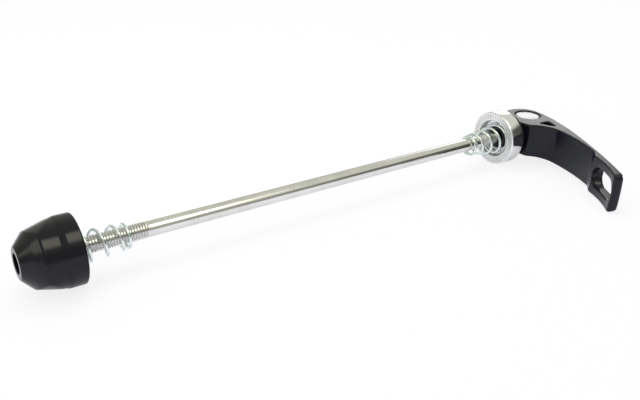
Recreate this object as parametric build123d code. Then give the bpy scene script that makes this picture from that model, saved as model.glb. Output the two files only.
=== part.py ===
# Bicycle quick release skewer, lying with its lever closed.
# The rod lies along X, with the lever at +X and the nut at -X.
# The origin is the centre of the cap's clamp face on the rod's axis, +Z is up, and sizes are in millimetres.
import os
from math import asin, atan2, cos, degrees, hypot, pi, radians, sin

from build123d import *

os.makedirs("parts", exist_ok=True)

# Driving dimensions
grip = 160.0  # between the clamp faces, with the nut run out towards the rod's end
shank_d = 4.6  # plain rod
thread_d = 5.0  # M5 rolled thread at both ends of the rod
cap_d = 20.0  # chromed cap, and the nut's collar, which lies on the same floor
cap_w = 5.7  # cap along the rod
lever_w = 13.4  # lever's arm, measured along the pivot pin
head_w = 12.4  # lever's head, measured the same way
pin_d = 9.4  # pivot pin
pivot_x = 18.6  # pivot pin's axis from the clamp face
cam_lift = 3.2  # how far half a turn of the lever moves the cap
cam_open_r = 6.6  # smallest reach of the cam, facing the cap when the lever is open
nut_l = 16.2  # nut along the rod
wire_d = 0.9  # spring wire

# Clearances
rod_play = 0.3  # rod in the bush, and the rod's slot in the lever
pin_play = 0.05  # pin in the lever's ears
cam_play = 0.1  # cam to bush
thread_play = 0.05  # rod's thread in the nut and the pin
coil_play = 0.2  # top of a coil to the rod it hangs on
seat_play = 0.05  # coil to the face it stands against

# Sizes that follow from these
cap_r = cap_d / 2
pin_r = pin_d / 2
shank_r = shank_d / 2
thread_r = thread_d / 2
wire_r = wire_d / 2
half_w = lever_w / 2
head_half_w = head_w / 2
cam_rate = cam_lift / pi
cam_closed_r = cam_open_r + cam_lift
nut_face = -grip
nut_end = nut_face - nut_l
coil_steps = 14  # wire sections in one turn of a spring


def turned(points):
    """A solid of revolution about the rod's axis from the (x, radius) corners of its half section."""
    with BuildPart() as made:
        with BuildSketch(Plane.XY):
            with BuildLine():
                Polyline(*points, close=True)
            make_face()
        revolve(axis=Axis.X)
    return made.part


def serrated(body, face_x, away, r_in, r_out, count, depth):
    """Radial V grooves cut into the flat ring between two radii of a face that looks along +X or -X."""
    half = 0.3 * pi * (r_in + r_out) / count
    rise = 0.2
    with BuildPart() as groove:
        with BuildSketch(Plane.XY.offset(r_in)):
            with BuildLine():
                Polyline((face_x + away * rise, -half * (1 + rise / depth)), (face_x - away * depth, 0),
                         (face_x + away * rise, half * (1 + rise / depth)), close=True)
            make_face()
        extrude(amount=r_out - r_in)
    cutters = [groove.part.rotate(Axis.X, i * 360 / count) for i in range(count)]
    return body - cutters


def cone_spring(x_big, r_big, x_small, r_small, turns, drop):
    """A right-hand conical spring, drawn through eight-sided wire sections along its helix and hung below the axis."""
    steps = turns * coil_steps
    wind = 2 * pi * turns if x_small < x_big else -2 * pi * turns
    sections = []
    for i in range(steps + 1):
        part_way = i / steps
        angle = wind * part_way
        radius = r_big + (r_small - r_big) * part_way
        out = Vector(0, sin(angle), cos(angle))
        along = Vector(0, cos(angle), -sin(angle)) * (wind * radius) + out * (r_small - r_big)
        along += Vector(x_small - x_big, 0, 0)
        centre = Vector(x_big + (x_small - x_big) * part_way, 0, -drop) + out * radius
        sections.append(Plane(centre, x_dir=along.cross(out), z_dir=along) * RegularPolygon(wire_r, 8))
    return loft(sections, ruled=True)


# Rod: plain steel shank with a rolled thread at each end and a chamfer on each tip
rod_tail = nut_face - 8.0
nut_thread_end = nut_face + 19.7
pin_thread = pivot_x - pin_r - 1.5
rod_tip = pivot_x + 3.2
tip_chamfer = 0.6
skewer_rod = turned([
    (rod_tail, 0), (rod_tail, thread_r - tip_chamfer), (rod_tail + tip_chamfer, thread_r),
    (nut_thread_end - 0.4, thread_r), (nut_thread_end, shank_r), (pin_thread, shank_r),
    (pin_thread + 0.3, thread_r), (rod_tip - tip_chamfer, thread_r), (rod_tip, thread_r - tip_chamfer),
    (rod_tip, 0),
])


def inside(curve, part_way, thickness):
    """The point that lies inside a curve of the lever's back by a thickness of metal."""
    point = curve @ part_way
    run = curve % part_way
    return (point.X + run.Y * thickness, point.Y - run.X * thickness)


# Lever outline in plan: round the cam head, down the back, round the tip and up the grip side.
# The cam's radius grows evenly from the open to the closed reach, so its lift is even too.
cam_arcs = 12  # arcs in half a turn of the cam
shoulder_r = 28.0  # back of the lever behind the head
back_r = 260.0  # back of the arm
neck_t = 4.8  # arm where it leaves the bay under the head
waist_t = 1.6  # arm at its thinnest, before the pad
lip_t = 3.1  # pad at its raised edge
dish_t = 2.55  # pad in the middle
tip_t = 3.5  # pad at the tip
chin_r = 30.0  # front of the head below the cam, which curves away from the cap
chin_round = 0.9  # edge between the front and the bay under the head
bay_lean = 0.14  # radians that the arm leans at the end of the bay
with BuildSketch() as plan:
    with BuildLine():
        cam_start = Vector(pivot_x + cam_open_r, cam_rate)
        cam_at = cam_start
        cam_way = Vector(0, 1)
        for i in range(cam_arcs):
            cam_r = cam_open_r + cam_lift * (i + 0.5) / cam_arcs
            cam = JernArc(cam_at, cam_way, cam_r, 180 / cam_arcs)
            cam_at = cam @ 1
            cam_way = cam % 1
        shoulder = JernArc(cam_start, (0, -1), shoulder_r, -21.0)
        back = JernArc(shoulder @ 1, shoulder % 1, back_r, -12.1)
        front = JernArc(cam_at, cam_way, chin_r, 15.5)
        bay_start = inside(back, 0.228, neck_t)
        TangentArc(bay_start, front @ 1, tangent=(sin(bay_lean), cos(bay_lean)))
        grip_side = TangentArc(bay_start, inside(back, 0.605, waist_t), tangent=(-sin(bay_lean), -cos(bay_lean)))
        step = Line(grip_side @ 1, inside(back, 0.685, lip_t))
        pad = ThreePointArc(step @ 1, inside(back, 0.82, dish_t), inside(back, 1.0, tip_t))
        Line(pad @ 1, back @ 1)
    make_face()
    fillet(plan.vertices().sort_by_distance(front @ 1)[0], chin_round)
    fillet(plan.vertices().sort_by_distance(pad @ 1)[0], 0.2 * tip_t)
    fillet(plan.vertices().sort_by_distance(back @ 1)[0], 0.28 * tip_t)
lever = extrude(plan.sketch, amount=half_w, both=True)

# Lever outline from the side: narrow across the head, full width from the neck on, with a rounded tip
tip_round = 0.37 * half_w
tip_y = (back @ 1).Y
ear_y = -pin_r
neck_y = (back @ 0.2).Y
head_y = 2 * cam_closed_r
with BuildSketch(Plane.YZ) as side:
    with BuildLine():
        Polyline((head_y, -head_half_w), (head_y, head_half_w), (ear_y, head_half_w), (neck_y, half_w), (tip_y, half_w),
                 (tip_y, -half_w), (neck_y, -half_w), (ear_y, -head_half_w), close=True)
    make_face()
    fillet([v for v in side.vertices() if v.X < tip_y + tip_round / 2], tip_round)
lever &= extrude(side.sketch, amount=10 * pin_d, both=True)

# Lever roll: the closed lever's rounded tip leans down until it meets the floor that the cap and nut lie on
tip_reach = -tip_y - tip_round
tip_drop = half_w - tip_round
roll = degrees(asin((cap_r - tip_round) / hypot(tip_reach, tip_drop)) - atan2(tip_drop, tip_reach))

# Lever pockets in the neck, cast into both faces
pocket_depth = 0.32 * lever_w
pocket_y = -pin_r - 4.4
with BuildSketch() as pocket:
    with BuildLine():
        Polyline((pivot_x - 4.0, pocket_y), (pivot_x + 0.8, pocket_y - 0.3), (pivot_x - 1.6, pocket_y - 6.2), close=True)
    make_face()
    fillet(pocket.vertices(), 0.5)
for face in (1, -1):
    lever -= Pos(0, 0, face * (half_w - pocket_depth)) * extrude(pocket.sketch, amount=face * 2 * pocket_depth)

# Lever bore for the pin and slot for the rod, open from the front round to the back
lever -= Pos(pivot_x, 0, 0) * Cylinder(pin_r + pin_play, 2 * lever_w)
slot_w = thread_d + 2 * rod_play
slot_floor = -thread_r - rod_play
slot_reach = 3 * cam_closed_r
lever -= Pos(pivot_x, slot_floor + slot_reach / 2, 0) * Box(2 * slot_reach, slot_reach, slot_w)

# Lever finger hole through the pad
hole_l = 15.4
hole_w = 7.4
hole_at = 0.46
hole_mid = pad @ hole_at
hole_run = pad % hole_at
hole_plane = Plane(Vector(hole_mid.X, hole_mid.Y, 0), x_dir=hole_run, z_dir=Vector(-hole_run.Y, hole_run.X, 0))
lever -= extrude(hole_plane * SlotOverall(hole_l, hole_w), amount=3 * tip_t, both=True)
lever = Rot(roll, 0, 0) * lever

# Pivot pin: steel barrel across the lever, cross-drilled for the rod's thread
pin_recess = 0.3
pin_chamfer = 0.25
pivot_pin = Cylinder(pin_r, head_w - 2 * pin_recess)
pivot_pin = chamfer(pivot_pin.edges(), pin_chamfer)
pivot_pin -= Rot(0, 90, 0) * Cylinder(thread_r + thread_play, 3 * pin_r)
pivot_pin = Rot(roll, 0, 0) * Pos(pivot_x, 0, 0) * pivot_pin

# Cap: chromed steel cup with a spring recess in front and a seat for the bush behind
rim = 0.6
recess_r = 7.0
recess_x = 3.0
web_x = 4.4
rear_lip = 0.8
bush_r = cap_r - rim - rear_lip
sleeve_r = 4.3
cap = turned([
    (0, recess_r), (0, cap_r - rim), (rim / 2, cap_r - rim / 4), (rim, cap_r), (cap_w - rim, cap_r),
    (cap_w - rim / 2, cap_r - rim / 4), (cap_w, cap_r - rim), (cap_w, bush_r), (web_x, bush_r),
    (web_x, sleeve_r), (recess_x, sleeve_r), (recess_x, recess_r),
])
cap = serrated(cap, 0, -1, recess_r - 0.5, cap_r - rim - 0.3, 60, 0.3)

# Bush: nylon cam follower with a sleeve through the cap
bush_face = pivot_x - cam_closed_r - cam_play
bush_bore = thread_r + rod_play
cam_bush = turned([
    (recess_x - 0.8, bush_bore), (recess_x - 0.8, sleeve_r), (web_x, sleeve_r), (web_x, bush_r),
    (bush_face - 0.8, bush_r), (bush_face, bush_r - 0.8), (bush_face, bush_bore),
])

# Lever spring: wide end in the cap's recess, narrow end hung on the rod
lever_spring_small = shank_r + 1.05
lever_spring_l = 15.9
lever_spring_seat = recess_x - wire_r - seat_play
lever_spring = cone_spring(lever_spring_seat, recess_r - 1.4, lever_spring_seat - lever_spring_l, lever_spring_small, 5,
                           lever_spring_small - wire_r - coil_play - shank_r)

# Nut insert: steel threaded hexagon with a serrated clamp flange and a spring recess
flange_r = 7.6
flange_t = 1.6
flange_proud = 0.4
insert_l = 10.0
hex_r = 4.6
coil_recess_r = 5.6
coil_recess_depth = 1.0
clamp_x = nut_face
flange_back = clamp_x - flange_t - flange_proud
nut_bore = thread_r + thread_play
nut_insert = turned([
    (flange_back, 0), (flange_back, flange_r), (clamp_x, flange_r), (clamp_x, coil_recess_r),
    (clamp_x - coil_recess_depth, coil_recess_r), (clamp_x - coil_recess_depth, 0),
])
hexagon = Plane(Vector(flange_back, 0, 0), x_dir=(0, 1, 0), z_dir=(-1, 0, 0)) * RegularPolygon(hex_r, 6)
shank_of_insert = extrude(hexagon, amount=insert_l - flange_t)
nut_insert += shank_of_insert
nut_insert -= Pos(clamp_x, 0, 0) * Rot(0, 90, 0) * Cylinder(nut_bore, 4 * insert_l)
nut_insert = serrated(nut_insert, clamp_x, 1, coil_recess_r - 0.5, flange_r - 0.4, 40, 0.3)

# Nut body: round collar and a gently tapered barrel with a steep nose, moulded round the insert
collar_l = 4.4
nose_l = 3.2
nose_r = 8.0
shoulder_l = 2.0
barrel_r = 9.8
small_r = 4.5
end_hole_r = 2.9
collar_back = clamp_x - flange_proud
collar_front = clamp_x - collar_l - flange_proud
nut_body = turned([
    (nut_end, end_hole_r), (nut_end, small_r), (nut_end + nose_l, nose_r), (nut_end + nose_l + shoulder_l, barrel_r),
    (collar_front, cap_r), (collar_back - 0.5, cap_r), (collar_back, cap_r - 0.5),
    (collar_back, flange_r), (flange_back, flange_r), (flange_back, end_hole_r),
])
nut_body -= shank_of_insert

# Nut grips: two opposite thumb faces, each a slice of a wide leaning cylinder that runs out at the collar
thumb_r = 11.5
thumb_lean = 15.0
thumb_turn = -21.0
thumb_start = collar_front + 1.8
for side_turn in (0, 180):
    wide = Plane(Vector(thumb_start, 0, cap_r - thumb_r), z_dir=(cos(radians(thumb_lean)), 0, sin(radians(thumb_lean))))
    ring = wide * (Cylinder(3 * thumb_r, 4 * nut_l) - Cylinder(thumb_r, 5 * nut_l))
    ring &= Pos(nut_face - nut_l / 2, 0, 2 * thumb_r) * Box(3 * nut_l, 6 * thumb_r, 4 * thumb_r)
    nut_body -= Rot(thumb_turn + side_turn, 0, 0) * ring

# Nut spring: wide end in the insert's recess, narrow end hung on the thread
nut_spring_small = thread_r + 0.9
nut_spring_l = 14.1
nut_spring_seat = clamp_x - coil_recess_depth + wire_r + seat_play
nut_spring = cone_spring(nut_spring_seat, coil_recess_r - 1.1, nut_spring_seat + nut_spring_l, nut_spring_small, 4,
                         nut_spring_small - wire_r - coil_play - thread_r)

for name, shape in {
    "skewer_rod": skewer_rod,
    "pivot_pin": pivot_pin,
    "lever": lever,
    "cap": cap,
    "cam_bush": cam_bush,
    "lever_spring": lever_spring,
    "nut_insert": nut_insert,
    "nut_body": nut_body,
    "nut_spring": nut_spring,
}.items():
    export_step(shape, f"parts/{name}.step")
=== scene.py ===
from math import cos, pi, radians, sin

import bmesh
import bpy
import numpy as np
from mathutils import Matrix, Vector


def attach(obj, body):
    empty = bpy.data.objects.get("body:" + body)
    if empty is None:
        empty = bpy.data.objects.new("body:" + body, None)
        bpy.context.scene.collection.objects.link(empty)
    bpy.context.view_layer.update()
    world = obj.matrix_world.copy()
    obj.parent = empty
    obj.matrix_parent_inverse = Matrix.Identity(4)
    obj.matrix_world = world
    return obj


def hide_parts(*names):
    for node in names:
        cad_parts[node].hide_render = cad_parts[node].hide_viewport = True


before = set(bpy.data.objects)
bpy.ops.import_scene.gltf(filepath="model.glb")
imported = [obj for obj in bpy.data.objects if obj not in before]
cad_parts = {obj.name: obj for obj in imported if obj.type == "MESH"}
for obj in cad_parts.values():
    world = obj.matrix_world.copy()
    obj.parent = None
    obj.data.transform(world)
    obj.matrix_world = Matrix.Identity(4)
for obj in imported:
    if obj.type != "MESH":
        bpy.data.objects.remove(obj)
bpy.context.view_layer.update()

# Rod
# A cold-drawn steel rod, polished bright, with a rolled M5 thread at each end.
# The nut runs on the longer thread, and the shorter one screws into the lever's pivot pin.
MM = 0.001
ROD_TAIL = -168.0
NUT_THREAD_END = -140.3
PIN_THREAD_START = 12.4
ROD_TIP = 21.8
ROD_TIP_SHY = 0.001
SHANK_R = 2.3
THREAD_R = 2.5
THREAD_PITCH = 0.8
THREAD_DEPTH = 0.44
THREAD_RUNOUT = 1.0
FLANK_SLOPE = 1.25
CREST_FLAT = 0.12
ROD_CHAMFER = 0.6
ROD_STEPS = 48
PITCH_ROWS = 12
SHANK_ROWS = 40
STEEL = (0.80, 0.79, 0.77)
DULL_STEEL = (0.72, 0.71, 0.68)
# Painted shade: the grey that the bottoms of thread and tooth grooves are darkened towards
GROOVE_SHADE = (0.56, 0.57, 0.56)
SATIN_ROUGH = 0.3
TARNISH_SCALE = 160.0
GRAIN_RELIEF = 0.00002


def grid_piece(name, points, along=False, **marks):
    """A mesh from a grid of points: rows follow the first parameter, and columns the second, which closes on
    itself. along joins the last row to the first as well, and points that meet are merged.
    Each mark is a grid of numbers from 0 to 1, kept as the mesh's attribute of that name."""
    rows, columns = points.shape[:2]
    row = np.arange(rows if along else rows - 1)
    row, column = np.meshgrid(row, np.arange(columns), indexing="ij")
    next_row = (row + 1) % rows
    next_column = (column + 1) % columns
    corners = [row * columns + column, row * columns + next_column,
               next_row * columns + next_column, next_row * columns + column]
    faces = np.stack(corners, axis=-1).reshape(-1, 4)
    mesh = bpy.data.meshes.new(name)
    mesh.from_pydata((points.reshape(-1, 3) * MM).tolist(), [], faces.tolist())
    for mark, values in marks.items():
        mesh.attributes.new(mark, "FLOAT", "POINT").data.foreach_set("value", values.ravel())
    work = bmesh.new()
    work.from_mesh(mesh)
    bmesh.ops.remove_doubles(work, verts=work.verts, dist=1e-7)
    bmesh.ops.recalc_face_normals(work, faces=work.faces)
    work.to_mesh(mesh)
    work.free()
    piece = bpy.data.objects.new(name, mesh)
    bpy.context.scene.collection.objects.link(piece)
    return piece


def smooth(piece, sharp_angle=32.0):
    """Shades a piece smooth, with its edges sharper than the angle left crisp."""
    piece.data.polygons.foreach_set("use_smooth", np.ones(len(piece.data.polygons), dtype=bool))
    piece.data.set_sharp_from_angle(angle=radians(sharp_angle))


def turned_points(x, radius, steps):
    """A surface of revolution about the rod: at (x, angle) the point stands at the radius for both.
    radius is one value for each x, or a table of one row for each x and one column for each angle."""
    angle = np.linspace(0, 2 * pi, steps, endpoint=False)
    radius = np.broadcast_to(np.atleast_2d(radius.T).T, (len(x), steps))
    along = np.broadcast_to(x[:, None], radius.shape)
    return np.stack([along, radius * np.cos(angle), radius * np.sin(angle)], axis=-1)


def thread_radius(x, angle, start, end):
    """Right-hand thread: the radius falls from the crest by a flattened triangle wave of x over the pitch
    less the angle over a turn, and the wave dies out over the run-out at each end."""
    phase = (x[:, None] / THREAD_PITCH - angle[None, :] / (2 * pi)) % 1.0
    wave = np.clip(FLANK_SLOPE * np.abs(2 * phase - 1) - CREST_FLAT, 0.0, 1.0)
    fade = np.clip(np.minimum(x - start, end - x) / THREAD_RUNOUT, 0.0, 1.0)[:, None]
    return THREAD_R - THREAD_DEPTH * wave * fade - (THREAD_R - SHANK_R) * (1 - fade)


rod_angle = np.linspace(0, 2 * pi, ROD_STEPS, endpoint=False)
tail_x = np.arange(ROD_TAIL, NUT_THREAD_END, THREAD_PITCH / PITCH_ROWS)
tip_x = np.arange(PIN_THREAD_START, ROD_TIP, THREAD_PITCH / PITCH_ROWS)
tail_r = np.minimum(thread_radius(tail_x, rod_angle, ROD_TAIL - THREAD_RUNOUT, NUT_THREAD_END),
                    (THREAD_R - ROD_CHAMFER + tail_x - ROD_TAIL)[:, None])
tip_r = np.minimum(thread_radius(tip_x, rod_angle, PIN_THREAD_START, ROD_TIP + THREAD_RUNOUT),
                   (THREAD_R - ROD_CHAMFER + ROD_TIP - tip_x)[:, None])
shank_x = np.linspace(NUT_THREAD_END, PIN_THREAD_START, SHANK_ROWS)[1:-1]
shank_r = np.full((len(shank_x), ROD_STEPS), SHANK_R)
end_r = np.zeros((1, ROD_STEPS))
rod_x = np.concatenate([[ROD_TAIL], tail_x, shank_x, tip_x, [ROD_TIP - ROD_TIP_SHY]])
rod_r = np.concatenate([end_r, tail_r, shank_r, tip_r, end_r])
# Painted shade mark: how far below the shank a point lies, 1 at the thread's roots and the rod's ends
rod_valley = np.clip((SHANK_R - rod_r) / (SHANK_R + THREAD_DEPTH - THREAD_R), 0.0, 1.0)
rod = grid_piece("rod", turned_points(rod_x, rod_r, ROD_STEPS), valley=rod_valley)
smooth(rod, sharp_angle=50.0)


def effect_group(name, inputs, outputs):
    """An empty shader node group with named float inputs at their default values and named outputs."""
    group = bpy.data.node_groups.new(name, "ShaderNodeTree")
    for label, value in inputs.items():
        socket = group.interface.new_socket(label, in_out="INPUT", socket_type="NodeSocketFloat")
        socket.default_value = value
    for label in outputs:
        group.interface.new_socket(label, in_out="OUTPUT", socket_type="NodeSocketFloat")
    return group, group.nodes.new("NodeGroupInput"), group.nodes.new("NodeGroupOutput")


def math_node(tree, operation, first, second):
    """A Math node whose two inputs are sockets or numbers."""
    node = tree.nodes.new("ShaderNodeMath")
    node.operation = operation
    for socket, value in zip(node.inputs, (first, second)):
        if isinstance(value, (int, float)):
            socket.default_value = value
        else:
            tree.links.new(value, socket)
    return node.outputs[0]


def noise_node(tree, vector, scale, detail=3.0):
    """A Noise texture on a vector socket."""
    node = tree.nodes.new("ShaderNodeTexNoise")
    node.inputs["Scale"].default_value = scale
    node.inputs["Detail"].default_value = detail
    tree.links.new(vector, node.inputs["Vector"])
    return node.outputs["Fac"]


def range_node(tree, value, low, high, to_low, to_high):
    """A Map Range node, clamped."""
    node = tree.nodes.new("ShaderNodeMapRange")
    tree.links.new(value, node.inputs["Value"])
    for label, number in (("From Min", low), ("From Max", high), ("To Min", to_low), ("To Max", to_high)):
        node.inputs[label].default_value = number
    return node.outputs["Result"]


def colour_mix(tree, factor, first, second):
    """A colour Mix node between two fixed colours."""
    node = tree.nodes.new("ShaderNodeMix")
    node.data_type = "RGBA"
    tree.links.new(factor, node.inputs["Factor"])
    node.inputs["A"].default_value = (*first, 1.0)
    node.inputs["B"].default_value = (*second, 1.0)
    return node.outputs["Result"]


# Drawn grain: noise stretched along the rod's axis, as fine scratches, with a slow cloud of tarnish
grain_group, grain_in, grain_out = effect_group(
    "drawn_grain", {"Fineness": 4000.0, "Stretch": 0.02}, ["Grain", "Cloud"])
grain_place = grain_group.nodes.new("ShaderNodeTexCoord")
grain_split = grain_group.nodes.new("ShaderNodeSeparateXYZ")
grain_join = grain_group.nodes.new("ShaderNodeCombineXYZ")
grain_noise = grain_group.nodes.new("ShaderNodeTexNoise")
grain_noise.inputs["Detail"].default_value = 2.0
grain_long = math_node(grain_group, "MULTIPLY", grain_split.outputs["X"], grain_in.outputs["Stretch"])
grain_cloud = noise_node(grain_group, grain_place.outputs["Object"], TARNISH_SCALE)
grain_group.links.new(grain_place.outputs["Object"], grain_split.inputs[0])
grain_group.links.new(grain_long, grain_join.inputs["X"])
grain_group.links.new(grain_split.outputs["Y"], grain_join.inputs["Y"])
grain_group.links.new(grain_split.outputs["Z"], grain_join.inputs["Z"])
grain_group.links.new(grain_join.outputs[0], grain_noise.inputs["Vector"])
grain_group.links.new(grain_in.outputs["Fineness"], grain_noise.inputs["Scale"])
grain_group.links.new(grain_noise.outputs["Fac"], grain_out.inputs["Grain"])
grain_group.links.new(grain_cloud, grain_out.inputs["Cloud"])


def metal(name, bright, dull, rough_low, rough_high, fineness, stretch, bump):
    """A bare or plated metal: the cloud turns the bright colour to the dull one, the grain sets roughness and
    bump, the groove mark paints shade into the bottoms of grooves, darkening them, and the satin mark
    roughens faces left unpolished."""
    material = bpy.data.materials.new(name)
    material.use_nodes = True
    tree = material.node_tree
    shader = tree.nodes["Principled BSDF"]
    shader.inputs["Metallic"].default_value = 1.0
    grain = tree.nodes.new("ShaderNodeGroup")
    grain.node_tree = grain_group
    grain.inputs["Fineness"].default_value = fineness
    grain.inputs["Stretch"].default_value = stretch
    cloud = range_node(tree, grain.outputs["Cloud"], 0.35, 0.7, 0.0, 1.0)
    # Painted shade: the groove mark mixes the colour towards the darker grey at the bottoms of grooves
    groove = tree.nodes.new("ShaderNodeAttribute")
    groove.attribute_name = "valley"
    groove_shaded = tree.nodes.new("ShaderNodeMix")
    groove_shaded.data_type = "RGBA"
    groove_shaded.inputs["B"].default_value = (*GROOVE_SHADE, 1.0)
    tree.links.new(groove.outputs["Fac"], groove_shaded.inputs["Factor"])
    tree.links.new(colour_mix(tree, cloud, bright, dull), groove_shaded.inputs["A"])
    tree.links.new(groove_shaded.outputs["Result"], shader.inputs["Base Color"])
    satin = tree.nodes.new("ShaderNodeAttribute")
    satin.attribute_name = "satin"
    polish = range_node(tree, grain.outputs["Grain"], 0.3, 0.7, rough_low, rough_high)
    unpolished = math_node(tree, "MULTIPLY", satin.outputs["Fac"], SATIN_ROUGH)
    tree.links.new(math_node(tree, "ADD", polish, unpolished), shader.inputs["Roughness"])
    relief = tree.nodes.new("ShaderNodeBump")
    relief.inputs["Strength"].default_value = bump
    relief.inputs["Distance"].default_value = GRAIN_RELIEF
    tree.links.new(grain.outputs["Grain"], relief.inputs["Height"])
    tree.links.new(relief.outputs["Normal"], shader.inputs["Normal"])
    return material


drawn_steel = metal("drawn_steel", STEEL, DULL_STEEL, rough_low=0.1, rough_high=0.24,
                    fineness=5000.0, stretch=0.02, bump=0.12)
rod.data.materials.append(drawn_steel)
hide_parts("skewer_rod")
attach(rod, "rod")

# Pivot pin
# A ground steel barrel across the lever's head, plated bright and cross-drilled for the rod.
# Its ends sit a little below the faces of the head, with a small chamfer round each.
PIVOT_X = 18.6
PIN_R = 4.7
PIN_HALF = 5.9
PIN_CHAMFER = 0.25
PIN_EASE = 0.08
PIN_FLAT_R = 2.0
PIN_FALL = 0.02
PIN_STEPS = 72
LEVER_ROLL = radians(3.426)
PLATING = (0.59, 0.59, 0.61)
DULL_PLATING = (0.51, 0.51, 0.53)


def rolled(points, turn):
    """Turns points about the rod's axis."""
    x, y, z = points[..., 0], points[..., 1], points[..., 2]
    return np.stack([x, y * cos(turn) - z * sin(turn), y * sin(turn) + z * cos(turn)], axis=-1)


pin_profile = np.array([
    (0.0, PIN_HALF),
    (PIN_FLAT_R, PIN_HALF),
    (PIN_R - 2 * PIN_CHAMFER, PIN_HALF - PIN_FALL),
    (PIN_R - PIN_CHAMFER, PIN_HALF - PIN_EASE),
    (PIN_R - PIN_EASE, PIN_HALF - PIN_CHAMFER),
    (PIN_R, PIN_HALF - 2 * PIN_CHAMFER),
])
pin_profile = np.concatenate([pin_profile, pin_profile[::-1] * (1, -1)])
pin_angle = np.linspace(0, 2 * pi, PIN_STEPS, endpoint=False)
pin_r = pin_profile[:, :1]
pin_z = np.broadcast_to(pin_profile[:, 1:], (len(pin_profile), PIN_STEPS))
pin_points = np.stack([PIVOT_X + pin_r * np.cos(pin_angle), pin_r * np.sin(pin_angle), pin_z], axis=-1)
pin = grid_piece("pin", rolled(pin_points, LEVER_ROLL))
smooth(pin)
bright_plating = metal("bright_plating", PLATING, DULL_PLATING, rough_low=0.26, rough_high=0.42,
                       fineness=2500.0, stretch=1.0, bump=0.1)
pin.data.materials.append(bright_plating)
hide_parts("pivot_pin")
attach(pin, "rod")

# Lever
# A cast aluminium arm with a two-eared cam head, painted satin black.
# It turns on the pin, and the paint rounds off the edges of the casting.
EDGE_ROUND = 0.45
EDGE_SEGMENTS = 3
EDGE_ANGLE = radians(35)
FLAT_ANGLE = radians(0.6)
LEVER_VOXEL = 0.23
EDGE_ROUNDING = 5
TIP_ROUNDING = 40
ARM_HALF_W = 6.7
TIP_LEAN = radians(33.1)
TIP_BOW = 0.6
TIP_BOW_REACH = 3.5
SHOULDER_R = 28.0
SHOULDER_TURN = radians(-21.0)
BACK_R = 260.0
CAM_OPEN = 6.6
CAM_RATE = 3.2 / pi
HOLE_TURN = radians(-31.05)
HOLE_L = 15.4
HOLE_W = 7.4
CROWN = 1.3
CROWN_REACH = 2.4
CROWN_ROOT = 1.5
BLACK_GLOSS = 0.3
LEVER_BLACK = (0.0038, 0.0044, 0.0088)
LEVER_WORN = (0.0053, 0.0059, 0.0105)
SKIN_CLOUD_SCALE = 120.0
SKIN_RELIEF = 0.00003
WEAR_GAIN = 14.0
COAT_ROUGH = 0.08


def tip_nearness(points):
    """How near to the lever's end a point lies along the pad: 1 at the end, 0 past the bow's reach."""
    out = points @ (-sin(TIP_LEAN), -cos(TIP_LEAN), 0.0)
    return np.clip(1 - (out.max() - out) / TIP_BOW_REACH, 0.0, 1.0)


def bowed_end(points):
    """Bows the lever's end: a point moves back along the pad by its nearness to the tip, times the bow, times
    the square of its share of the half width."""
    back = TIP_BOW * tip_nearness(points) * (points[:, 2] / ARM_HALF_W) ** 2
    return points + back[:, None] * (sin(TIP_LEAN), cos(TIP_LEAN), 0.0)


def crowned_back(points):
    """Thickens the back of the pad round the finger hole: a point moves out from the back's centre of
    curvature by the crown, which dies out with the distance from the hole's slot outline, towards the tip
    and with the depth below the back."""
    back_mid = np.array([PIVOT_X + CAM_OPEN - SHOULDER_R, CAM_RATE])
    back_mid += (SHOULDER_R - BACK_R) * np.array([cos(SHOULDER_TURN), sin(SHOULDER_TURN)])
    away = points[:, :2] - back_mid
    reach = np.linalg.norm(away, axis=1)
    along = BACK_R * (HOLE_TURN - np.arctan2(away[:, 1], away[:, 0]))
    off = np.hypot(np.maximum(np.abs(along) - (HOLE_L - HOLE_W) / 2, 0.0), points[:, 2]) - HOLE_W / 2
    fade = np.clip(1 - off / CROWN_REACH, 0.0, 1.0) * np.clip(1 - 2 * along / HOLE_L, 0.0, 1.0)
    root = np.clip((reach - BACK_R) / CROWN_ROOT + 1, 0.0, 1.0)
    raised = CROWN * fade * fade * (3 - 2 * fade) * root
    moved = points.copy()
    moved[:, :2] += raised[:, None] * away / reach[:, None]
    return moved


lever_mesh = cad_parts["lever"].data.copy()
lever_work = bmesh.new()
lever_work.from_mesh(lever_mesh)
bmesh.ops.remove_doubles(lever_work, verts=lever_work.verts, dist=2e-6)
bmesh.ops.dissolve_limit(lever_work, angle_limit=FLAT_ANGLE, verts=lever_work.verts, edges=lever_work.edges)
lever_work.to_mesh(lever_mesh)
lever_work.free()
lever_blank = bpy.data.objects.new("lever_blank", lever_mesh)
bpy.context.scene.collection.objects.link(lever_blank)
broken_edge = lever_blank.modifiers.new("broken_edge", "BEVEL")
broken_edge.width = EDGE_ROUND * MM
broken_edge.segments = EDGE_SEGMENTS
broken_edge.limit_method = "ANGLE"
broken_edge.angle_limit = EDGE_ANGLE
broken_edge.use_clamp_overlap = False
even_skin = lever_blank.modifiers.new("even_skin", "REMESH")
even_skin.mode = "VOXEL"
even_skin.voxel_size = LEVER_VOXEL * MM
lever_done = lever_blank.evaluated_get(bpy.context.evaluated_depsgraph_get())
lever_skin = bpy.data.meshes.new_from_object(lever_done)
bpy.data.objects.remove(lever_blank)
lever_skin.materials.clear()
lever_place = np.empty(len(lever_skin.vertices) * 3)
lever_skin.vertices.foreach_get("co", lever_place)
lever_flat = rolled(lever_place.reshape(-1, 3) / MM, -LEVER_ROLL)
lever_near = tip_nearness(lever_flat)
lever_final = rolled(crowned_back(bowed_end(lever_flat)) * MM, LEVER_ROLL)
lever_skin.vertices.foreach_set("co", lever_final.ravel())
lever = bpy.data.objects.new("lever_arm", lever_skin)
bpy.context.scene.collection.objects.link(lever)
lever_round = lever.modifiers.new("edge_round", "SMOOTH")
lever_round.iterations = EDGE_ROUNDING
tip_group = lever.vertex_groups.new(name="tip")
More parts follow.
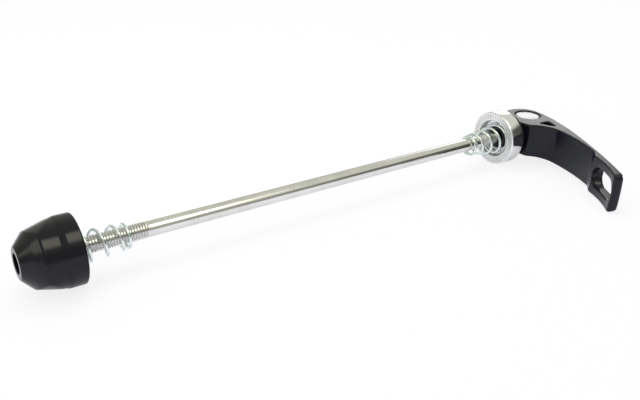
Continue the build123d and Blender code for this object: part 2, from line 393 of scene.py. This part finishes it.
tip_group.add(np.flatnonzero(lever_near > 0.5).tolist(), 1.0, "REPLACE")
tip_round = lever.modifiers.new("tip_round", "SMOOTH")
tip_round.iterations = TIP_ROUNDING
tip_round.vertex_group = tip_group.name
smooth(lever, sharp_angle=180.0)

# Moulded skin: fine orange-peel relief, and a slower cloud that varies the gloss
skin_group, skin_in, skin_out = effect_group("moulded_skin", {"Peel size": 900.0}, ["Peel", "Cloud"])
skin_place = skin_group.nodes.new("ShaderNodeTexCoord")
skin_peel = skin_group.nodes.new("ShaderNodeTexNoise")
skin_peel.inputs["Detail"].default_value = 2.0
skin_cloud = noise_node(skin_group, skin_place.outputs["Object"], SKIN_CLOUD_SCALE)
skin_group.links.new(skin_place.outputs["Object"], skin_peel.inputs["Vector"])
skin_group.links.new(skin_in.outputs["Peel size"], skin_peel.inputs["Scale"])
skin_group.links.new(skin_peel.outputs["Fac"], skin_out.inputs["Peel"])
skin_group.links.new(skin_cloud, skin_out.inputs["Cloud"])

# Edge wear: convex edges, found from the pointiness of the mesh and broken up by noise
wear_group, wear_in, wear_out = effect_group("edge_wear", {"Reach": 0.53, "Break": 700.0}, ["Wear"])
wear_shape = wear_group.nodes.new("ShaderNodeNewGeometry")
wear_place = wear_group.nodes.new("ShaderNodeTexCoord")
wear_noise = wear_group.nodes.new("ShaderNodeTexNoise")
wear_group.links.new(wear_place.outputs["Object"], wear_noise.inputs["Vector"])
wear_group.links.new(wear_in.outputs["Break"], wear_noise.inputs["Scale"])
wear_over = math_node(wear_group, "SUBTRACT", wear_shape.outputs["Pointiness"], wear_in.outputs["Reach"])
wear_edge = math_node(wear_group, "MULTIPLY", wear_over, WEAR_GAIN)
wear_broken = math_node(wear_group, "MULTIPLY", wear_edge, wear_noise.outputs["Fac"])
wear_clamp = math_node(wear_group, "MINIMUM", math_node(wear_group, "MAXIMUM", wear_broken, 0.0), 1.0)
wear_group.links.new(wear_clamp, wear_out.inputs["Wear"])


def black_finish(name, colour, worn, rough_low, rough_high, peel, bump, coat=0.0):
    """A black painted or moulded skin: cloud sets the roughness, peel the relief, and wear pales the edges."""
    material = bpy.data.materials.new(name)
    material.use_nodes = True
    tree = material.node_tree
    shader = tree.nodes["Principled BSDF"]
    shader.inputs["Specular IOR Level"].default_value = BLACK_GLOSS
    shader.inputs["Coat Weight"].default_value = coat
    shader.inputs["Coat Roughness"].default_value = COAT_ROUGH
    skin = tree.nodes.new("ShaderNodeGroup")
    skin.node_tree = skin_group
    skin.inputs["Peel size"].default_value = peel
    wear = tree.nodes.new("ShaderNodeGroup")
    wear.node_tree = wear_group
    tree.links.new(colour_mix(tree, wear.outputs["Wear"], colour, worn), shader.inputs["Base Color"])
    gloss = range_node(tree, skin.outputs["Cloud"], 0.3, 0.7, rough_low, rough_high)
    tree.links.new(gloss, shader.inputs["Roughness"])
    relief = tree.nodes.new("ShaderNodeBump")
    relief.inputs["Strength"].default_value = bump
    relief.inputs["Distance"].default_value = SKIN_RELIEF
    tree.links.new(skin.outputs["Peel"], relief.inputs["Height"])
    tree.links.new(relief.outputs["Normal"], shader.inputs["Normal"])
    return material


satin_black_paint = black_finish("satin_black_paint", LEVER_BLACK, LEVER_WORN,
                                 rough_low=0.19, rough_high=0.27, peel=1400.0, bump=0.1, coat=0.05)
lever.data.materials.append(satin_black_paint)
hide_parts("lever")
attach(lever, "lever")

# Cam bush
# A black nylon follower that sits in the back of the cap and bears on the lever's cam.
# Its sleeve comes through the cap's web and guides the cap along the rod.
BUSH_BORE = 2.8
BUSH_R = 8.6
SLEEVE_R = 4.3
SLEEVE_X = 2.2
WEB_X = 4.4
BUSH_FACE = 8.7
BUSH_PLAY = 0.05
BUSH_EASE = 0.2
BUSH_ROUND = 0.9
ROUND_FAR = 0.6
ROUND_NEAR = 0.15
BUSH_STEPS = 96
NYLON = (0.012, 0.012, 0.012)
NYLON_WORN = (0.03, 0.03, 0.03)
bush_profile = np.array([
    (SLEEVE_X + BUSH_EASE, BUSH_BORE),
    (SLEEVE_X, BUSH_BORE + BUSH_EASE),
    (SLEEVE_X, SLEEVE_R - BUSH_PLAY - BUSH_EASE),
    (SLEEVE_X + BUSH_EASE, SLEEVE_R - BUSH_PLAY),
    (WEB_X, SLEEVE_R - BUSH_PLAY),
    (WEB_X, BUSH_R - BUSH_EASE),
    (WEB_X + ROUND_NEAR, BUSH_R - BUSH_PLAY),
    (BUSH_FACE - BUSH_ROUND, BUSH_R - BUSH_PLAY),
    (BUSH_FACE - ROUND_FAR, BUSH_R - ROUND_NEAR),
    (BUSH_FACE - ROUND_NEAR, BUSH_R - ROUND_FAR),
    (BUSH_FACE, BUSH_R - BUSH_ROUND + BUSH_PLAY),
    (BUSH_FACE, BUSH_BORE + BUSH_EASE),
    (BUSH_FACE - BUSH_EASE, BUSH_BORE),
])
bush = grid_piece("bush", turned_points(bush_profile[:, 0], bush_profile[:, 1], BUSH_STEPS), along=True)
smooth(bush)
black_nylon = black_finish("black_nylon", NYLON, NYLON_WORN,
                           rough_low=0.42, rough_high=0.55, peel=700.0, bump=0.15)
bush.data.materials.append(black_nylon)
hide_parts("cam_bush")
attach(bush, "cap")

# Cap
# A pressed steel cup, bright chromed, with a ring of fine radial teeth that bites the frame.
# The recess inside the ring takes the wide end of the spring.
CAP_R = 10.0
CAP_W = 5.7
CAP_RIM = 0.45
RECESS_R = 7.0
RECESS_X = 3.0
RECESS_RIM = 0.25
RECESS_FILLET = 0.4
INNER_EDGE = 0.1
TEETH = 60
TOOTH_DEPTH = 0.3
TOOTH_GAP = 0.2
CAP_STEPS = TEETH * 8
CORNER_STEPS = 5
RING_ROWS = 12
CHROME = (0.92, 0.92, 0.93)
DULL_CHROME = (0.86, 0.86, 0.87)


def rounded(corner_x, corner_r, radius, steps=CORNER_STEPS):
    """A closed profile with each corner cut by a parabola: the corner is the control point, and the curve
    starts and ends a radius away along the two sides, or at four tenths of a shorter side."""
    corner = np.stack([np.asarray(corner_x, float), np.asarray(corner_r, float)], axis=-1)
    before = np.roll(corner, 1, axis=0) - corner
    after = np.roll(corner, -1, axis=0) - corner
    before_l = np.linalg.norm(before, axis=1, keepdims=True)
    after_l = np.linalg.norm(after, axis=1, keepdims=True)
    reach = np.minimum(np.asarray(radius, float).reshape(-1, 1), 0.4 * np.minimum(before_l, after_l))
    start = corner + before / before_l * reach
    end = corner + after / after_l * reach
    t = np.linspace(0, 1, steps)[None, :, None]
    curve = (1 - t) ** 2 * start[:, None] + 2 * t * (1 - t) * corner[:, None] + t ** 2 * end[:, None]
    return curve.reshape(-1, 2)


cap_corner_x = [0.0, 0.0, CAP_W, CAP_W, WEB_X, WEB_X, RECESS_X, RECESS_X]
cap_corner_r = [RECESS_R, CAP_R, CAP_R, BUSH_R, BUSH_R, SLEEVE_R, SLEEVE_R, RECESS_R]
cap_round = [RECESS_RIM, CAP_RIM, CAP_RIM, INNER_EDGE, INNER_EDGE, INNER_EDGE, INNER_EDGE, RECESS_FILLET]
cap_profile = rounded(cap_corner_x, cap_corner_r, cap_round)
ring_r = np.linspace(RECESS_R + RECESS_RIM, CAP_R - CAP_RIM, RING_ROWS + 2)[1:-1]
cap_x = np.concatenate([cap_profile[:CORNER_STEPS, 0], np.zeros(RING_ROWS), cap_profile[CORNER_STEPS:, 0]])
cap_r = np.concatenate([cap_profile[:CORNER_STEPS, 1], ring_r, cap_profile[CORNER_STEPS:, 1]])
cap_points = turned_points(cap_x, cap_r, CAP_STEPS)
tooth_place = np.arange(CAP_STEPS) * TEETH / CAP_STEPS % 1.0
tooth_wave = np.clip(1 - np.abs(tooth_place - 0.5) / TOOTH_GAP, 0.0, 1.0)
on_ring = np.zeros(len(cap_x))
on_ring[CORNER_STEPS:CORNER_STEPS + RING_ROWS] = 1.0
on_ring[[CORNER_STEPS, CORNER_STEPS + RING_ROWS - 1]] = 0.5
cap_points[..., 0] += TOOTH_DEPTH * on_ring[:, None] * tooth_wave[None, :]
cap_satin = ((cap_x < RECESS_X + 0.1) & (cap_r < CAP_R - 0.5 * CAP_RIM)).astype(float)
# Painted shade in the tooth valleys, carried by the groove mark
cap = grid_piece("cap_ring", cap_points, along=True, valley=on_ring[:, None] * tooth_wave[None, :],
                 satin=np.broadcast_to(cap_satin[:, None], cap_points.shape[:2]))
smooth(cap, sharp_angle=28.0)
bright_chrome = metal("bright_chrome", CHROME, DULL_CHROME, rough_low=0.05, rough_high=0.12,
                      fineness=1500.0, stretch=1.0, bump=0.04)
cap.data.materials.append(bright_chrome)
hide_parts("cap")
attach(cap, "cap")

# Springs
# Two conical springs of zinc-plated wire, each wound wide at its clamp face and closed at its narrow end.
# They hang on the rod by their narrow coils and keep the wheel centred as the skewer goes in.
WIRE_R = 0.45
WIRE_STEPS = 12
TURN_STEPS = 40
CLOSED_TURNS = 0.9
CLOSED_PITCH = 2 * WIRE_R * 1.05
EVEN_SHARE = 0.75
SPRING_START = pi / 2
LEVER_SPRING = {"seat_x": 2.5, "wide_r": 5.6, "small_x": -13.4, "small_r": 3.35, "turns": 5.6, "drop": 0.4}
NUT_SPRING = {"seat_x": -160.5, "wide_r": 4.5, "small_x": -146.4, "small_r": 3.4, "turns": 4.6, "drop": 0.25}
ZINC = (0.85, 0.9, 0.895)
DULL_ZINC = (0.70, 0.77, 0.76)


def spring_points(seat_x, wide_r, small_x, small_r, turns, drop):
    """A round wire carried along a right-hand conical helix that hangs below the rod's axis by the drop: the
    angle runs evenly, the radius falls from wide to small, and x eases in and out so that the end coils
    lie closed. The wire's section stands across the path, and its ends close to points."""
    turn = np.linspace(0, turns, int(turns * TURN_STEPS) + 1)
    open_turn = np.clip((turn - CLOSED_TURNS) / (turns - 2 * CLOSED_TURNS), 0.0, 1.0)
    eased = EVEN_SHARE * open_turn + (1 - EVEN_SHARE) * open_turn ** 2 * (3 - 2 * open_turn)
    side = np.sign(small_x - seat_x)
    first_turns = np.clip(turn, 0, CLOSED_TURNS)
    last_turns = np.clip(turn - turns + CLOSED_TURNS, 0, CLOSED_TURNS)
    closing = CLOSED_PITCH * (first_turns + last_turns)
    open_l = abs(small_x - seat_x) - 2 * CLOSED_TURNS * CLOSED_PITCH
    x = seat_x + side * (closing + open_l * eased)
    narrowing = np.clip((turn - 0.4 * CLOSED_TURNS) / (turns - 1.2 * CLOSED_TURNS), 0, 1)
    radius = wide_r + (small_r - wide_r) * narrowing
    angle = SPRING_START + side * 2 * pi * turn
    path = np.stack([x, radius * np.cos(angle), radius * np.sin(angle) - drop], axis=-1)
    run = np.gradient(path, axis=0)
    run /= np.linalg.norm(run, axis=1, keepdims=True)
    out = np.stack([np.zeros_like(x), np.cos(angle), np.sin(angle)], axis=-1)
    across = np.cross(run, out)
    across /= np.linalg.norm(across, axis=1, keepdims=True)
    out = np.cross(across, run)
    section = np.linspace(0, 2 * pi, WIRE_STEPS, endpoint=False)
    path = np.concatenate([path[:1], path, path[-1:]])
    out = np.concatenate([out[:1], out, out[-1:]])
    across = np.concatenate([across[:1], across, across[-1:]])
    thick = np.concatenate([[0.0], np.full(len(turn), WIRE_R), [0.0]])
    ring = np.cos(section)[None, :, None] * out[:, None] + np.sin(section)[None, :, None] * across[:, None]
    return path[:, None] + thick[:, None, None] * ring


zinc_wire = metal("zinc_wire", ZINC, DULL_ZINC, rough_low=0.14, rough_high=0.3,
                  fineness=2600.0, stretch=1.0, bump=0.12)
lever_spring = grid_piece("lever_coil", spring_points(**LEVER_SPRING))
nut_spring = grid_piece("nut_coil", spring_points(**NUT_SPRING))
for coil, node, body in ((lever_spring, "lever_spring", "cap"), (nut_spring, "nut_spring", "nut_carrier")):
    smooth(coil, sharp_angle=60.0)
    coil.data.materials.append(zinc_wire)
    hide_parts(node)
    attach(coil, body)

# Nut insert
# A zinc-plated steel hexagon, tapped M5, with a serrated flange that bites the frame.
# The nut's body is moulded round it, so that only the flange shows.
INSERT_ZINC = (0.72, 0.74, 0.74)
DULL_INSERT = (0.58, 0.6, 0.6)
zinc_plating = metal("zinc_plating", INSERT_ZINC, DULL_INSERT, rough_low=0.25, rough_high=0.42,
                     fineness=2200.0, stretch=1.0, bump=0.12)
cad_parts["nut_insert"].data.materials.clear()
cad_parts["nut_insert"].data.materials.append(zinc_plating)

# Nut body
# A black moulded barrel with a collar at the frame, a steep nose and two thumb faces to turn it by.
# Its end is faced off round a hole that lets the rod's tail come through.
NUT_END = -176.2
COLLAR_BACK = -160.4
COLLAR_FRONT = -164.8
FLANGE_R = 7.6
FLANGE_BACK = -162.0
INSERT_END = -170.4
INSERT_R = 4.7
END_HOLE_R = 2.9
SMALL_R = 4.5
NOSE_R = 8.0
NOSE_X = -173.0
BARREL_R = 9.8
BARREL_X = -171.0
NECK_R = 9.62
NECK_X = COLLAR_FRONT - 1.2
SKIN_ROUND = 0.5
END_ROUND = 0.25
HOLE_ROUND = 0.15
SEAT_ROUND = 0.1
THUMB_R = 16.0
THUMB_LEAN = radians(15.0)
THUMB_TURN = radians(-21.0)
THUMB_X = COLLAR_FRONT + 1.8
THUMB_BLEND = 0.06
NUT_ROW = 0.25
NUT_STEPS = 180
NUT_BLACK = (0.0042, 0.0037, 0.0064)
NUT_WORN = (0.0058, 0.0054, 0.0082)


def thumb_radius(x, angle, turn):
    """How far out a thumb face stands: the wide leaning cylinder, met by the ray from the rod's axis at this
    x and angle."""
    lean_c, lean_s = cos(THUMB_LEAN), sin(THUMB_LEAN)
    off = angle[None, :] - (pi / 2 + turn)
    base = ((CAP_R - THUMB_R) * lean_c + (x - THUMB_X) * lean_s)[:, None]
    square = np.sin(off) ** 2 + (lean_c * np.cos(off)) ** 2
    half = base * lean_c * np.cos(off)
    inside = np.maximum(half ** 2 - square * (base ** 2 - THUMB_R ** 2), 0.0)
    return np.where(np.cos(off) > 0, (half + np.sqrt(inside)) / square, 99.0)


nut_corners = np.array([
    (NUT_END, END_HOLE_R, HOLE_ROUND),
    (NUT_END, SMALL_R, END_ROUND),
    (NOSE_X, NOSE_R, SKIN_ROUND),
    (BARREL_X, BARREL_R, SKIN_ROUND),
    (NECK_X, NECK_R, SKIN_ROUND),
    (COLLAR_FRONT, CAP_R, SKIN_ROUND),
    (COLLAR_BACK, CAP_R, SKIN_ROUND),
    (COLLAR_BACK, FLANGE_R, HOLE_ROUND),
    (FLANGE_BACK, FLANGE_R, SEAT_ROUND),
    (FLANGE_BACK, INSERT_R, SEAT_ROUND),
    (INSERT_END, INSERT_R, SEAT_ROUND),
    (INSERT_END, END_HOLE_R, SEAT_ROUND),
])
nut_profile = rounded(nut_corners[:, 0], nut_corners[:, 1], nut_corners[:, 2], steps=6)
nut_gap = np.linalg.norm(np.roll(nut_profile, -1, axis=0) - nut_profile, axis=1)
nut_run = np.concatenate([[0.0], np.cumsum(nut_gap)])
nut_closed = np.concatenate([nut_profile, nut_profile[:1]])
nut_at = np.union1d(nut_run[:-1], np.arange(0.0, nut_run[-1], NUT_ROW))
nut_x = np.interp(nut_at, nut_run, nut_closed[:, 0])
nut_r = np.interp(nut_at, nut_run, nut_closed[:, 1])
nut_angle = np.linspace(0, 2 * pi, NUT_STEPS, endpoint=False)
nut_faces = np.stack([np.broadcast_to(nut_r[:, None], (len(nut_x), NUT_STEPS)),
                      thumb_radius(nut_x, nut_angle, THUMB_TURN),
                      thumb_radius(nut_x, nut_angle, THUMB_TURN + pi)])
nut_skin = -THUMB_BLEND * np.log(np.exp(-nut_faces / THUMB_BLEND).sum(axis=0))
nut = grid_piece("nut_barrel", turned_points(nut_x, nut_skin, NUT_STEPS), along=True)
smooth(nut, sharp_angle=30.0)
gloss_black_nut = black_finish("gloss_black_nut", NUT_BLACK, NUT_WORN,
                               rough_low=0.13, rough_high=0.2, peel=1000.0, bump=0.06)
nut.data.materials.append(gloss_black_nut)
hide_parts("nut_body")
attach(nut, "nut")

# Floor
# A white table top that the skewer lies on.
# The camera sees it nearly white, with the skewer's soft shadow, and the metal sees less of that glow.
FLOOR_Z = -0.010
FLOOR_HALF = 3.0
FLOOR_COLOUR = (0.83, 0.85, 0.92)
FLOOR_GLOW = 0.82
FLOOR_MIRROR = 0.5
floor_corners = [(-FLOOR_HALF, -FLOOR_HALF, FLOOR_Z), (FLOOR_HALF, -FLOOR_HALF, FLOOR_Z),
                 (FLOOR_HALF, FLOOR_HALF, FLOOR_Z), (-FLOOR_HALF, FLOOR_HALF, FLOOR_Z)]
floor_mesh = bpy.data.meshes.new("floor")
floor_mesh.from_pydata(floor_corners, [], [(0, 1, 2, 3)])
floor = bpy.data.objects.new("floor", floor_mesh)
bpy.context.scene.collection.objects.link(floor)
floor_paint = bpy.data.materials.new("white_table")
floor_paint.use_nodes = True
floor_shader = floor_paint.node_tree.nodes["Principled BSDF"]
floor_shader.inputs["Base Color"].default_value = (*FLOOR_COLOUR, 1.0)
floor_shader.inputs["Roughness"].default_value = 0.7
floor_shader.inputs["Specular IOR Level"].default_value = 0.2
floor_tree = floor_paint.node_tree
floor_seen = floor_tree.nodes.new("ShaderNodeLightPath")
floor_white = floor_tree.nodes.new("ShaderNodeEmission")
floor_mix = floor_tree.nodes.new("ShaderNodeMixShader")
floor_shine = math_node(floor_tree, "MULTIPLY", floor_seen.outputs["Is Glossy Ray"], FLOOR_MIRROR)
floor_eye = math_node(floor_tree, "MAXIMUM", floor_seen.outputs["Is Camera Ray"], floor_shine)
floor_eye = math_node(floor_tree, "MAXIMUM", floor_eye, floor_seen.outputs["Is Transmission Ray"])
floor_tree.links.new(math_node(floor_tree, "MULTIPLY", floor_eye, FLOOR_GLOW), floor_mix.inputs["Fac"])
floor_tree.links.new(floor_shader.outputs["BSDF"], floor_mix.inputs[1])
floor_tree.links.new(floor_white.outputs["Emission"], floor_mix.inputs[2])
floor_tree.links.new(floor_mix.outputs["Shader"], floor_tree.nodes["Material Output"].inputs["Surface"])
floor.data.materials.append(floor_paint)

# Light
# A large soft box overhead and a smaller one to the left, in an even white room.
# The soft boxes don't show in the metal, which sees the painted reflections of the room below instead.
LIGHT_AIM = (-0.08, 0.0, 0.0)
ROOM_LIGHT = 0.75
ROOM_SEEN = 1.0


def soft_box(name, place, width, height, watts, colour):
    """A rectangular area lamp at a place, turned to face the skewer."""
    lamp = bpy.data.lights.new(name, "AREA")
    lamp.shape = "RECTANGLE"
    lamp.size = width
    lamp.size_y = height
    lamp.energy = watts
    lamp.color = colour
    holder = bpy.data.objects.new(name, lamp)
    holder.location = place
    holder.rotation_euler = (Vector(LIGHT_AIM) - Vector(place)).to_track_quat("-Z", "Y").to_euler()
    holder.visible_glossy = False
    bpy.context.scene.collection.objects.link(holder)


soft_box("overhead", (-0.10, 0.25, 0.75), width=0.9, height=0.6, watts=3.2, colour=(1.0, 0.99, 0.97))
soft_box("left_fill", (-0.7, -0.25, 0.45), width=0.4, height=0.4, watts=1.0, colour=(1.0, 1.0, 1.0))
world = bpy.data.worlds.new("white_room")
bpy.context.scene.world = world
world.use_nodes = True
room = world.node_tree
room_light = room.nodes["Background"]
room_light.inputs["Color"].default_value = (1.0, 1.0, 1.0, 1.0)
seen = room.nodes.new("ShaderNodeLightPath")
by_eye = math_node(room, "MAXIMUM", seen.outputs["Is Camera Ray"], seen.outputs["Is Glossy Ray"])
by_eye = math_node(room, "MAXIMUM", by_eye, seen.outputs["Is Transmission Ray"])
room.links.new(range_node(room, by_eye, 0.0, 1.0, ROOM_LIGHT, ROOM_SEEN), room_light.inputs["Strength"])

# Room
# The walls and ceiling round the table, with two windows and a lamp overhead, painted on a glowing dome as
# painted reflections.
# Only the shiny surfaces see it: the camera doesn't, and it lights nothing else.
ROOM_R = 2000.0
ROOM_COLUMNS = 180
ROOM_ROWS = 91
ROOM_SILL = -0.25
CEILING = (0.66, 0.67, 0.59)
CEILING_RISE = (24, 36)
BACK_WALL = (0.55, 0.56, 0.47)
FRONT_WALL = (0.42, 0.42, 0.39)
FRONT_FACING = (70, 95)
FRONT_CORNER = (0.08, 0.08, 0.065)
CORNER_X = (0.30, 0.72)
WINDOW = (1.95, 1.95, 1.95)
WINDOW_FACING = (42, 47, 57, 67)
WINDOW_RISE = (4, 8, 32, 37)
SIDE_WINDOW = (2.3, 2.25, 1.9)
SIDE_FACING = (-118, -108, -80, -70)
SIDE_RISE = (12, 18, 36, 42)
OVERHEAD = (4.2, 4.1, 3.5)
OVERHEAD_TURN = (40, 54, 70, 82)
OVERHEAD_X = (0.0, 0.08, 0.30, 0.42)


def ramp(value, low, high):
    """A smooth step: 0 below the low value, 1 above the high one, and a cubic between."""
    t = np.clip((value - low) / (high - low), 0.0, 1.0)
    return (t * t * (3 - 2 * t))[..., None]


def band(value, start, full, fading, end):
    """A smooth step up followed by a smooth step down."""
    return ramp(value, start, full) * (1 - ramp(value, fading, end))


def room_tone(aim):
    """The room's colour in each direction: the front wall, darker towards its corner, and the paler back
    wall, up to the ceiling, then two windows and a wide lamp painted over them with soft edges. The windows
    lie between two facings and two rises, and the lamp between two turns about X and two reaches along it."""
    facing = np.degrees(np.arctan2(aim[:, 0], aim[:, 1]))
    rise = np.degrees(np.arcsin(np.clip(aim[:, 2], -1, 1)))
    turn = np.degrees(np.arctan2(aim[:, 2], -aim[:, 1]))
    front = FRONT_WALL + ramp(aim[:, 0], *CORNER_X) * np.subtract(FRONT_CORNER, FRONT_WALL)
    tone = BACK_WALL + ramp(np.abs(facing), *FRONT_FACING) * (front - BACK_WALL)
    tone += ramp(rise, *CEILING_RISE) * (CEILING - tone)
    tone += band(facing, *WINDOW_FACING) * band(rise, *WINDOW_RISE) * (WINDOW - tone)
    tone += band(facing, *SIDE_FACING) * band(rise, *SIDE_RISE) * (SIDE_WINDOW - tone)
    tone += band(turn, *OVERHEAD_TURN) * band(aim[:, 0], *OVERHEAD_X) * (OVERHEAD - tone)
    return tone


room_turn = np.linspace(0, 2 * pi, ROOM_COLUMNS, endpoint=False)
room_rise = np.radians(np.linspace(ROOM_SILL, 90, ROOM_ROWS))[:, None]
room_aim = np.stack([np.cos(room_rise) * np.sin(room_turn), np.cos(room_rise) * np.cos(room_turn),
                     np.sin(room_rise) * np.ones_like(room_turn)], axis=-1)
reflection_dome = grid_piece("reflection_dome", room_aim * ROOM_R)
room_place = np.empty(len(reflection_dome.data.vertices) * 3)
reflection_dome.data.vertices.foreach_get("co", room_place)
room_colour = room_tone(room_place.reshape(-1, 3) / (ROOM_R * MM))
painted_reflection = bpy.data.materials.new("painted_reflection")
painted_reflection.use_nodes = True
room_tree = painted_reflection.node_tree
room_tint = room_tree.nodes.new("ShaderNodeAttribute")
room_tint.attribute_name = "tone"
# The dome glows with these colours though it is no lamp: painted reflections, and painted highlights for the
# windows and lamp
room_glow = room_tree.nodes.new("ShaderNodeEmission")
room_tree.links.new(room_tint.outputs["Color"], room_glow.inputs["Color"])
room_tree.links.new(room_glow.outputs["Emission"], room_tree.nodes["Material Output"].inputs["Surface"])
reflection_dome.data.attributes.new("tone", "FLOAT_COLOR", "POINT").data.foreach_set(
    "color", np.hstack([room_colour, np.ones((len(room_colour), 1))]).ravel())
reflection_dome.data.materials.append(painted_reflection)
reflection_dome.visible_camera = False
reflection_dome.visible_diffuse = False
reflection_dome.visible_shadow = False

# Camera
# It stands off the nut's end, above and in front, and looks along the rod to the lever.
# Its place, tilt and lens are fitted to the photograph.
CAMERA_PLACE = (-0.209309, -0.183067, 0.090707)
CAMERA_FALL = 23.319
CAMERA_TURN = -35.097
CAMERA_LENS = 41.77
camera_data = bpy.data.cameras.new("camera")
camera_data.sensor_width = 36.0
camera_data.lens = CAMERA_LENS
camera = bpy.data.objects.new("camera", camera_data)
camera.location = CAMERA_PLACE
camera.rotation_euler = (radians(90 - CAMERA_FALL), 0.0, radians(CAMERA_TURN))
bpy.context.scene.collection.objects.link(camera)
bpy.context.scene.camera = camera
bpy.context.scene.view_settings.view_transform = "Standard"
